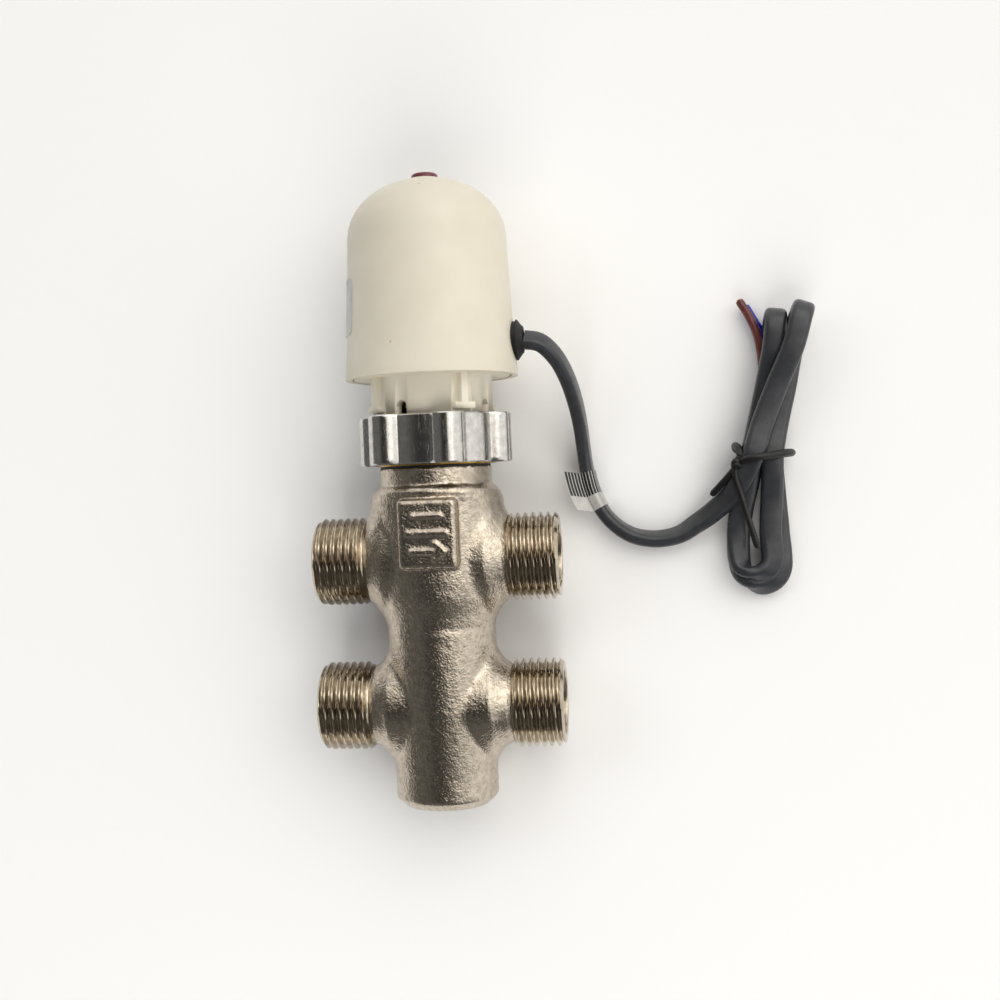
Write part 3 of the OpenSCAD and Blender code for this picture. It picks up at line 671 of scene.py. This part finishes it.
class OBJECT_OT_valve_cable(bpy.types.Operator):
    """Adds the flat cable with its tied hank, its cores, its tie and its marker flag"""

    bl_idname = "object.valve_cable"
    bl_label = "Cable"

    def execute(self, context):
        settings = context.scene.valve_cable
        rows = smooth_line(cable_rows(), 1.0)
        line, normals = rows[:, :3], unit(rows[:, 3:])
        section = flat_section(settings.width / MM, settings.height / MM, 1.3)
        cable = piece("flat_cable", MM * swept(line, normals, section),
                      capped_faces(len(line), len(section)), material("extruded_grey_pvc"),
                      "actuator", ("cable", "cable_hank"), sharp=50)
        others = [*self.cores(settings), *self.tie(settings), self.flag(settings, line, normals)]
        return {"FINISHED"}

    def cores(self, settings):
        """Two insulated cores out of the cable's end, each with a short bare end."""
        radius = settings.core_radius / MM
        routes = {
            "brown": ((79.4, 21, 1.9), (79.9, 26, 2.3), (79.8, 31, 2.9), (79, 36.3, 3.3),
                      (77.2, 41.2, 3.3), (75, 45.2, 3.3)),
            "blue": ((81.4, 21, 1.9), (82, 26, 1.7), (81.8, 31, 1.2), (80.8, 36.3, 1.1),
                     (78.6, 40.4, 1.1), (76.6, 44.2, 1.1))}
        made = []
        for colour, route in routes.items():
            made.append(round_wire(f"core_{colour}_wire", route, radius,
                                   material(f"extruded_{colour}_pvc"), "actuator",
                                   (f"core_{colour}",), ends=0.9))
            end, before = np.array(route[-1]), np.array(route[-2])
            ahead = unit(end - before)
            made.append(round_wire(f"core_{colour}_copper", (end - ahead, end, end + 0.35 * ahead),
                                   0.55, material("drawn_copper"), "actuator", ends=0.85))
        return made

    def tie(self, settings):
        """The ring of tie wire round the hank's waist, its twisted knot and two tails."""
        radius = settings.tie_radius / MM
        black = material("coated_tie_wire")
        ring = ((72.5, 4.1, 10.4), (74.2, 4.6, 12.6), (77.2, 5, 13.3), (80.7, 5.5, 11.7),
                (83.8, 6.1, 9.9), (85.6, 6.4, 6.8), (85.4, 6.6, 3.2), (83, 6.7, 1.15),
                (78, 6.9, 1.05), (74.2, 7.4, 1.15), (72.5, 8.2, 3.4), (72.2, 8.6, 6.6),
                (72.7, 7.7, 9.7), (72.9, 5.7, 11.1), (72, 3.9, 10.9))
        tails = {
            "short": ((72.4, 4.5, 10.4), (71.3, 2.4, 10), (69.9, 0.8, 9.4), (67.8, -1.4, 8.2),
                      (65.9, -3.3, 7.2)),
            "long": ((71.8, 4.7, 10.7), (71.6, 1, 10.5), (72.7, -3.5, 10.5), (74.4, -10, 10.3),
                     (76.2, -16.6, 9.9))}
        made = [round_wire("tie_ring", ring, radius, black, "actuator", ("cable_tie",),
                           up=(0.3, 1, 0.1))]
        for name, route in tails.items():
            made.append(round_wire(f"tie_tail_{name}", route, radius * 0.9, black, "actuator",
                                   (), up=(0.6, 0.1, 1)))
        turns = np.linspace(0, 3 * np.pi, 13)
        wave = 0.5 * np.sin(turns)
        knot = np.stack((72 + 0.5 * np.cos(turns), 4 + wave - 0.12 * turns, 10.9 + wave), -1)
        made.append(round_wire("tie_knot", knot, radius, black, "actuator", ()))
        return made

    def flag(self, settings, line, normals):
        """Film folded round the cable, its two ends pressed together into a short wing."""
        begins, runs, stands_off = (35.7, 4.4, 2.7), 10.9, 0.25
        wing, film = 4.2 * np.array((-0.93, 0.12, 0.3)), np.array((0, 0, 0.35))
        start = int(np.argmin(np.linalg.norm(line - begins, axis=1)))
        reach = np.cumsum(np.linalg.norm(np.diff(line[start:], axis=0), axis=1))
        stop = start + int(np.searchsorted(reach, runs))
        part, facing = line[start:stop], normals[start:stop]
        wrap = flat_section(settings.width / MM + 2 * stands_off,
                            settings.height / MM + 2 * stands_off, 1.5, 7)
        outline = []
        for skin in swept(part, facing, wrap).reshape(len(part), -1, 3):
            skin = np.roll(skin, -int(np.argmin(skin[:, 0] - 0.35 * skin[:, 2])), axis=0)
            tip = skin[0] + wing
            outline.append(np.vstack((skin[0] + film, skin[1:], skin[0], tip, tip + film)))
        columns = len(outline[0])
        flag = piece("marker_flag", MM * np.vstack(outline),
                     capped_faces(len(part), columns), barred_film(), "actuator",
                     ("cable_flag",), sharp=40)
        row = outline[len(part) // 2]
        around = np.concatenate(((0,), np.cumsum(np.linalg.norm(np.diff(row, axis=0), axis=1))))
        around[-1] = -np.linalg.norm(row[-1] - row[0])  # the wing's upper face runs the other way
        for key, values in (("film_around", np.tile(around, len(part))),
                            ("film_along", np.repeat(np.linspace(0, 1, len(part)), columns))):
            flag.data.attributes.new(key, "FLOAT", "POINT").data.foreach_set(
                "value", values.astype(np.float32))
        return flag


def barred_film():
    """Metallised film with even dark bars along the cable on the part nearer the valve."""
    film = bpy.data.materials.get("barred_label_film")
    if film:
        return film
    film = finish("barred_label_film", **FINISHES["metallised_label_film"])
    tree = film.node_tree
    shader = tree.nodes["Principled BSDF"]
    around = add(tree, "Attribute", attribute_name="film_around").outputs["Fac"]
    along = add(tree, "Attribute", attribute_name="film_along").outputs["Fac"]
    half_pitch, half_gap, barred_share = 0.4, 0.1, 0.62
    beat = add(tree, "Math", {0: around, 1: half_pitch}, operation="PINGPONG").outputs[0]
    dark = add(tree, "Math", {0: beat, 1: half_gap}, operation="GREATER_THAN")
    near = add(tree, "Math", {0: along, 1: barred_share}, operation="LESS_THAN")
    mask = add(tree, "Math", {0: dark.outputs[0], 1: near.outputs[0]}, operation="MULTIPLY")
    colour = shader.inputs["Base Color"].links[0].from_socket
    mixed = add(tree, "Mix", {"Factor": mask.outputs[0], "A": colour, "B": linear("#1D1E20")},
                data_type="RGBA")
    tree.links.new(mixed.outputs["Result"], shader.inputs["Base Color"])
    return film


# ---- Valve body ----

STUB_END, PORT_FACE = 17.25, 29.25  # where a port's thread starts and ends, from the axis
THREAD_SEGMENTS = 144
WATERWAY = 6.5  # radius of the channels from the ports
# Turned outlines as (radius, height) round the valve's axis: the body, the channel on its right
# side and its bores. A port's stub is (radius, reach) round the port's own axis.
BARREL = ((0, -1.5), (10.25, -1.5), (12.25, 0.5), (12.25, 6), (13, 22), (13, 41), (13.8, 44),
          (15.2, 48), (16, 52), (16, 71.6), (15.6, 72.2), (15.6, 72.8), (15.2, 73.4), (13.5, 75),
          (13.5, 79), (0, 79))
PORT_STUB = ((0, 0), (11.6, 0), (11.4, 12.2), (10.6, 13.6), (10, 15), (9.6, 16.2), (9.2, 16.6),
             (9.2, STUB_END), (0, STUB_END))
CHANNEL = ((10.6, 50.5), (13.9, 50.5), (13.9, 70), (10.6, 70))
BORES = (((0, 21), (7.5, 21), (7.5, 45.5), (0, 45.5)), ((0, 45), (9.05, 45), (9.05, 70), (0, 70)),
         ((0, 65), (12, 65), (12, 80), (0, 80)))


def distance_to(profile, radius, height):
    """Signed distance from points of a half plane to a closed profile, negative inside."""
    best, inside = np.full(radius.shape, 1e9), np.zeros(radius.shape, bool)
    for (ar, az), (br, bz) in zip(profile, profile[1:] + profile[:1]):
        er, ez = br - ar, bz - az
        t = np.clip(((radius - ar) * er + (height - az) * ez) / (er * er + ez * ez), 0, 1)
        if not (ar == 0 and br == 0):  # the axis itself isn't a surface
            best = np.minimum(best, np.hypot(radius - ar - t * er, height - az - t * ez))
        if az != bz:
            crosses = (az > height) != (bz > height)
            inside ^= crosses & (radius < er * (height - az) / ez + ar)
    return np.where(inside, -best, best)


def joined(a, b, soft):
    """Union of two distance fields with a soft join of that size."""
    share = np.clip(1 - np.abs(a - b) / soft, 0, None)
    return np.minimum(a, b) - share * share * soft / 4


def slab(x, y, z, middle, half, corner):
    """Distance to a box with round edges."""
    q = [np.abs(v - m) - h + corner for v, m, h in zip((x, y, z), middle, half)]
    outside = np.sqrt(sum(np.clip(v, 0, None) ** 2 for v in q))
    return outside + np.clip(np.maximum(np.maximum(q[0], q[1]), q[2]), None, 0) - corner


def bar(x, z, start, end, radius):
    """Distance on the panel's face to a bar with round ends."""
    (ax, az), (bx, bz) = start, end
    ex, ez = bx - ax, bz - az
    t = np.clip(((x - ax) * ex + (z - az) * ez) / (ex * ex + ez * ez), 0, 1)
    return np.hypot(x - ax - t * ex, z - az - t * ez) - radius


def panel_field(x, y, z):
    """The chest's raised panel with a plain bar and a flow arrow standing on it."""
    face = slab(x, y, z, (0, -12, 63.6), (6.9, 4.95, 8.1), 1.2)
    marks = bar(x, z, (-4.4, 63.8), (4.4, 63.8), 0.5)
    for start, end in (((-3.8, 59.6), (3.2, 59.6)), ((3.8, 59.6), (1.7, 61.5)),
                       ((3.8, 59.6), (1.7, 57.7)), ((-3.2, 67.8), (3.2, 67.8))):
        marks = np.minimum(marks, bar(x, z, start, end, 0.48))
    marks = np.maximum(np.maximum(marks, -17.4 - y), y + 10)
    return joined(face, marks, 0.3)


def body_field(x, y, z, fillet):
    """Distance field of the forged and machined body."""
    radius = np.hypot(x, y)
    # the chest is wider than it is deep, so its front runs on from the barrel below
    flat = np.interp(z, (40, 52, 71, 74), (1.0, 1.13, 1.13, 1.0))
    field = distance_to(BARREL, np.hypot(x, y * flat), z)
    for level in (LOWER_PORT_Z, UPPER_PORT_Z):
        port = distance_to(PORT_STUB, np.hypot(y, z - level), np.abs(x))
        # the join is wide at the barrel's flanks and tight over its front and back
        field = joined(field, port, np.interp(np.abs(x), (8, 14), (0.6, fillet)))
    # machined ends stay crisp: the join may not grow past the foot, the top or the stubs
    field = np.maximum(field, np.maximum(z - 79, -1.5 - z))
    field = joined(field, panel_field(x, y, z), 0.6)
    field = np.maximum(field, np.abs(x) - STUB_END)
    hollow = np.maximum(distance_to(CHANNEL, radius, z),
                        np.abs(np.arctan2(y, x)) * radius - math.radians(55) * radius)
    for profile in BORES:
        hollow = np.minimum(hollow, distance_to(profile, radius, z))
    lower = np.hypot(y, z - LOWER_PORT_Z) - WATERWAY
    upper = np.hypot(y, z - UPPER_PORT_Z) - WATERWAY
    # the lower ports open into the bore, the upper left one too, and the upper right one
    # into the channel round the bore
    for way in (np.maximum(lower, np.abs(x) - 20), np.maximum(upper, x + 8),
                np.maximum(upper, 12.5 - x)):
        hollow = np.minimum(hollow, way)
    return np.maximum(field, -hollow)


class OBJECT_OT_valve_body(bpy.types.Operator):
    """Adds the forged body and the turned ends of its four ports"""

    bl_idname = "object.valve_body"
    bl_label = "Valve body"

    def execute(self, context):
        settings = context.scene.valve_body
        self.forging(settings)
        for level, height in (("lower", LOWER_PORT_Z), ("upper", UPPER_PORT_Z)):
            for side, sign in (("left", -1), ("right", 1)):
                self.port(settings, f"{level}_{side}_port_end", sign, height)
        return {"FINISHED"}

    def forging(self, settings):
        step = settings.grid / MM
        low = np.array((-18.0, -18.6, -3.0))
        counts = np.ceil((np.array((18.0, 18.0, 80.5)) - low) / step).astype(int)
        x, y, z = (low[i] + step * np.arange(counts[i]) for i in range(3))
        field = body_field(*np.meshgrid(x, y, z, indexing="ij"), settings.port_fillet / MM)
        volume = openvdb.FloatGrid(3.0)  # the value far outside the body
        volume.copyFromArray(field.astype(np.float32))
        points, quads = volume.convertToQuads(0.0)
        points = low + step * points.astype(float)
        mesh = bpy.data.meshes.new("skin")
        mesh.from_pydata(points.tolist(), [], quads.tolist())
        normals = np.zeros(len(points) * 3, np.float32)
        mesh.vertices.foreach_get("normal", normals)
        bpy.data.meshes.remove(mesh)
        # a forging's skin isn't even: low dents about 2 mm apart and pebbles about 0.9 mm apart
        lift = np.zeros(len(points))
        for i in np.flatnonzero(self.forged_skin(points)):
            place = Vector(points[i])
            lift[i] = noise.noise(place * 0.5) + 0.9 * noise.noise(place * 1.15)
        points = points + settings.skin / MM * lift[:, None] * normals.reshape(-1, 3)
        piece("forged_body", placed(points), quads.tolist(),
              material("nickel_plated_blasted_forging"), "valve", ("valve_body",), sharp=50)

    def forged_skin(self, points):
        """Which points are on the forged outside; machined ends and inside walls stay smooth."""
        x, y, z = points.T
        radius = np.hypot(x, y)
        off_port = np.minimum(np.hypot(y, z - LOWER_PORT_Z), np.hypot(y, z - UPPER_PORT_Z))
        forged = (z > -1.2) & (z < 78.6) & (np.abs(x) < 16.4)
        forged &= (radius > 12.2) | (np.abs(x) > 9)
        return forged & (radius >= 11.9) & (off_port >= WATERWAY + 0.5)

    def port(self, settings, name, sign, level):
        """Thread, chamfers, face and mouth of a port: male G1/2 with 55 degree flanks."""
        crest, depth, pitch = (v / MM for v in (settings.thread_radius, settings.thread_depth,
                                                 settings.thread_pitch))
        start, run_in, chamfer, end = STUB_END, STUB_END + 0.7, PORT_FACE - 1, PORT_FACE
        outer = np.concatenate(((start,), np.arange(start + 0.15, end - 0.05, pitch / 11),
                                (end,)))[:, None]
        turn = np.linspace(0, 1, THREAD_SEGMENTS, endpoint=False)[None]
        flank = flanks(outer, sign * turn, pitch, 0.15)
        flank = flank * flank * (3 - 2 * flank) * 0.35 + flank * 0.65  # slightly rounded crests
        envelope = np.interp(outer, (start, run_in, chamfer, end), (9.8, crest, crest, crest - 1))
        skin = np.minimum(envelope, crest - depth * (1 - flank))
        inner = rounded(((9.2, end), (7.75, end, 0.4), (7.75, 19.25, 0.2), (6.5, 19.25, 0.2),
                         (6.5, 17.4), (6.8, 16.9), (9.1, 16.9)), closed=False)[1:]
        radii, reach = sleeve(((skin, outer), columns_of(inner)), THREAD_SEGMENTS)
        angle = 2 * np.pi * turn
        points = np.stack((sign * reach, radii * np.cos(angle), level + radii * np.sin(angle)), -1)
        piece(name, placed(points), grid_faces(len(radii), THREAD_SEGMENTS, True),
              material("nickel_plated_turned_brass"), "valve", ("valve_body",), sharp=32)


class OBJECT_OT_valve_headwork(bpy.types.Operator):
    """Adds the brass headwork with its M30 x 1.5 thread"""

    bl_idname = "object.valve_headwork"
    bl_label = "Headwork"

    def execute(self, context):
        pitch, crest, depth = 1.5, 14.95, 0.9
        heights = np.arange(82.1, 88.0, pitch / 10)[:, None]
        turn = np.linspace(0, 1, THREAD_SEGMENTS, endpoint=False)[None]
        envelope = np.interp(heights, (82.1, 82.7, 87.3, 88), (14.1, crest, crest, 14.2))
        skin = np.minimum(envelope, crest - depth * (1 - flanks(heights, turn, pitch, 0.12)))
        below = rounded(((7, 71.2), (11.95, 71.2, 0.3), (11.95, 79.5), (13.7, 79.5, 0.25),
                         (13.7, 82, 0.2), (14, 82.05)), closed=False)
        above = rounded(((14, 88), (8.5, 88, 0.4), (8.5, 93.5, 0.4), (6, 93.5, 0.2),
                         (6, 91.3), (3.9, 91.3), (3.9, 88.3), (2.05, 88.3), (2.05, 85.6),
                         (7, 85.6)), closed=False)
        radii, levels = sleeve((columns_of(below), (skin, heights), columns_of(above)),
                               THREAD_SEGMENTS)
        piece("headwork_turned", placed(turned(radii, levels, THREAD_SEGMENTS)),
              grid_faces(len(radii), THREAD_SEGMENTS, True), material("turned_brass"), "valve",
              ("headwork",), sharp=32)
        return {"FINISHED"}


class OBJECT_OT_valve_ring_nut(bpy.types.Operator):
    """Adds the lobed aluminium ring nut"""

    bl_idname = "object.valve_ring_nut"
    bl_label = "Ring nut"

    def execute(self, context):
        settings = context.scene.valve_actuator
        segments, tip, low, high = 360, 4.3, 79.8, 91.6
        first_lobe, between = 21 - 90, 60  # degrees from the +x side, and from lobe to lobe
        lobe, valley = settings.lobe_radius / MM, settings.valley_radius / MM
        angle = np.linspace(0, 360, segments, endpoint=False)
        off = np.radians((angle - first_lobe + between / 2) % between - between / 2)
        middle = lobe - tip
        across_tip = np.clip(tip ** 2 - (middle * np.sin(off)) ** 2, 0, None)
        bulge = np.where(np.abs(middle * np.sin(off)) < tip,
                         middle * np.cos(off) + np.sqrt(across_tip), 0)
        outline = -joined(-np.maximum(bulge, 0), np.full(segments, -valley), 0.5)[None]
        heights = np.array((low, low + 0.1, low + 0.25, low + 0.4, 81, 83, 85, 87, 89, 90.8,
                            high - 0.4, high - 0.25, high - 0.1, high))[:, None]
        edge = np.interp(heights, (low, low + 0.1, low + 0.4, high - 0.4, high - 0.1, high),
                         (0.4, 0.18, 0, 0, 0.18, 0.4))
        skin = outline - edge
        inner = np.array(((16.3, high), (15.4, 90.9), (14.7, 90.3), (14.7, 90), (15.35, 90),
                          (15.35, 88.1), (15, 88.1), (15, 80.4), (15.5, low)))
        inside = np.minimum(inner[:, :1], outline - 0.45)  # the valleys keep a wall
        radii, levels = sleeve(((skin, heights), (inside, inner[:, 1:])), segments)
        piece("lobed_ring_nut", placed(turned(radii, levels, segments)),
              grid_faces(len(radii), segments, True), material("milled_aluminium"), "nut",
              ("ring_nut",), sharp=28)
        return {"FINISHED"}


# ---- Actuator ----

CAP_LOW, CAP_WALL_LOW, DOME_LOW = 100.5, 102.5, 134  # rim, straight wall and dome of the cap

def cap_radius(height, rim):
    """Outside radius of the cap's straight wall, which flares towards the rim."""
    return np.interp(height, (CAP_WALL_LOW, 109, 119, DOME_LOW),
                     (rim - 0.12, rim - 0.6, rim - 1.1, 19.2))


class OBJECT_OT_valve_actuator(bpy.types.Operator):
    """Adds the cap, base moulding, label, indicator and strain relief"""

    bl_idname = "object.valve_actuator"
    bl_label = "Actuator"

    def execute(self, context):
        settings = context.scene.valve_actuator
        self.cap(settings)
        self.base()
        self.label(settings)
        lathe("indicator_button", ((0.3, 129.3), (3.2, 129.3, 0.2), (3.2, 150, 0.7), (0.3, 150)),
              material("moulded_maroon_polyamide"), "plunger", ("indicator_pin",), solid=True,
              segments=72)
        self.grommet()
        return {"FINISHED"}

    def cap(self, settings):
        rim, wall = settings.rim_radius / MM, settings.wall / MM
        levels = np.linspace(CAP_WALL_LOW, DOME_LOW, 16)

        def dome(inset):
            turns = np.radians(np.arange(4, 91, 4.3))
            return [(2 + (17.2 - inset) * math.cos(a), DOME_LOW + (14.3 - inset) * math.sin(a))
                    for a in turns]

        outside = [(rim, CAP_LOW, 0.3)] + [(cap_radius(z, rim), z) for z in levels] + dome(0)
        crown = [(4.4, 148.3, 0.2), (4.1, 148.7, 0.3), (3.5, 148.7, 0.25), (3.5, 146.7, 0.2)]
        inside = [(cap_radius(z, rim) - wall, z) for z in levels] + dome(wall)
        outside = [p for p in outside if p[0] > 4.6 or p[1] < 140]
        inside = [p for p in inside if p[0] > 3.8 or p[1] < 140]
        profile = outside + crown + inside[::-1] + [(rim - wall, CAP_LOW, 0.2)]
        cap = lathe("domed_cap", profile, material("moulded_cream_abs"), "actuator",
                    ("actuator_cap",), segments=192)
        hole, segments = 4.55, 48
        plug = turned(np.full((2, 1), hole), np.array(((12.0,), (25.0,))), segments)
        cut(cap, shape("plug", across(plug), capped_faces(2, segments)))

    def base(self):
        """The base keeps its moulded shape and gets the small round edges that a tool leaves."""
        merge, flat, crease, edge = 1e-6, math.radians(1), math.radians(40), 0.13 * MM
        bm = bmesh.new()
        bm.from_mesh(frame["nodes"]["actuator_base"].data)
        bmesh.ops.remove_doubles(bm, verts=bm.verts, dist=merge)
        bmesh.ops.dissolve_limit(bm, angle_limit=flat, verts=bm.verts, edges=bm.edges)
        crisp = [e for e in bm.edges if len(e.link_faces) == 2 and e.calc_face_angle(0) > crease]
        bmesh.ops.bevel(bm, geom=crisp, offset=edge, segments=2, affect="EDGES",
                        clamp_overlap=True)
        mesh = bpy.data.meshes.new("base_moulding")
        bm.to_mesh(mesh)
        bm.free()
        dressed(bpy.data.objects.new("base_moulding", mesh), material("moulded_cream_polyamide"),
                "actuator", ("actuator_base",))

    def label(self, settings):
        """A plain film on the cap's left side, with round corners."""
        rim = settings.rim_radius / MM
        start, turn_by, low, high, corner = 147, 66, 111, 124.5, 1.6
        rows, columns = 24, 48
        shell = []
        for thick in (-0.1, 0.2):
            for s in np.linspace(0, 1, rows):
                level = low + s * (high - low)
                inset = corner - math.sqrt(max(corner ** 2 - max(
                    corner - (level - low), corner - (high - level), 0) ** 2, 0))
                radius = cap_radius(level, rim)
                trim = math.degrees(inset / radius)
                turns = np.radians(np.linspace(start + trim, start + turn_by - trim, columns))
                shell.append(np.stack(((radius + thick) * np.cos(turns),
                                       (radius + thick) * np.sin(turns),
                                       np.full(columns, level)), -1))
        spot = np.arange(2 * rows * columns).reshape(2, rows, columns)
        corners = (spot[:, :-1, :-1], spot[:, :-1, 1:], spot[:, 1:, 1:], spot[:, 1:, :-1])
        faces = np.stack(corners, -1).reshape(-1, 4).tolist()
        under, over = (np.concatenate((layer[0], layer[1:, -1], layer[-1, -2::-1],
                                       layer[-2:0:-1, 0])) for layer in spot)
        faces += np.stack((under, np.roll(under, -1), np.roll(over, -1), over), -1).tolist()
        piece("plain_label", placed(np.vstack(shell)), faces,
              material("metallised_label_film"), "actuator", ("type_label",))

    def grommet(self):
        """A cone of rubber where the cable leaves the cap."""
        profile = [(2.75, 16.6), (5.6, 16.6, 0.3), (5.6, 17.4, 0.2), (4.5, 17.4), (4.5, 20.75),
                   (4.9, 20.75, 0.2), (4.9, 21.1, 0.2), (4.0, 21.75, 0.3), (3.3, 22.3, 0.2),
                   (3.2, 22.5, 0.1), (2.75, 22.5)]
        lathe("strain_relief", profile, material("moulded_black_rubber"), "actuator",
              ("cable_grommet",), segments=64, place=across)


class OBJECT_OT_valve_inner_parts(bpy.types.Operator):
    """Gives every CAD part that is still shown the finish of its slot"""

    bl_idname = "object.valve_inner_parts"
    bl_label = "Inner parts"

    def execute(self, context):
        for name, node in frame["nodes"].items():
            if node.hide_render:
                continue
            node.data.materials.clear()
            node.data.materials.append(material(SLOT_FINISHES[SLOTS[name]]))
        return {"FINISHED"}


class VIEW3D_PT_valve(bpy.types.Panel):
    """Lists the steps that build the valve's looks"""

    bl_label = "Zone valve"
    bl_space_type = "VIEW_3D"
    bl_region_type = "UI"
    bl_category = "Zone valve"

    def draw(self, context):
        for step in STEPS:
            self.layout.operator(step.bl_idname)


STEPS = (OBJECT_OT_valve_stage, OBJECT_OT_valve_cable, OBJECT_OT_valve_body,
         OBJECT_OT_valve_headwork, OBJECT_OT_valve_ring_nut, OBJECT_OT_valve_actuator,
         OBJECT_OT_valve_inner_parts)
SETTINGS = {"valve_stage": StageSettings, "valve_cable": CableSettings,
            "valve_body": ValveSettings, "valve_actuator": ActuatorSettings}


def register():
    for group in SETTINGS.values():
        bpy.utils.register_class(group)
    for step in STEPS:
        bpy.utils.register_class(step)
    bpy.utils.register_class(VIEW3D_PT_valve)
    for name, group in SETTINGS.items():
        setattr(bpy.types.Scene, name, bpy.props.PointerProperty(type=group))


def unregister():
    for name in SETTINGS:
        delattr(bpy.types.Scene, name)
    for kind in (VIEW3D_PT_valve, *reversed(STEPS), *SETTINGS.values()):
        bpy.utils.unregister_class(kind)


def main():
    register()
    bpy.ops.object.valve_stage()
    bpy.ops.object.valve_cable()
    bpy.ops.object.valve_body()
    bpy.ops.object.valve_headwork()
    bpy.ops.object.valve_ring_nut()
    bpy.ops.object.valve_actuator()
    bpy.ops.object.valve_inner_parts()


if __name__ == "__main__":
    main()
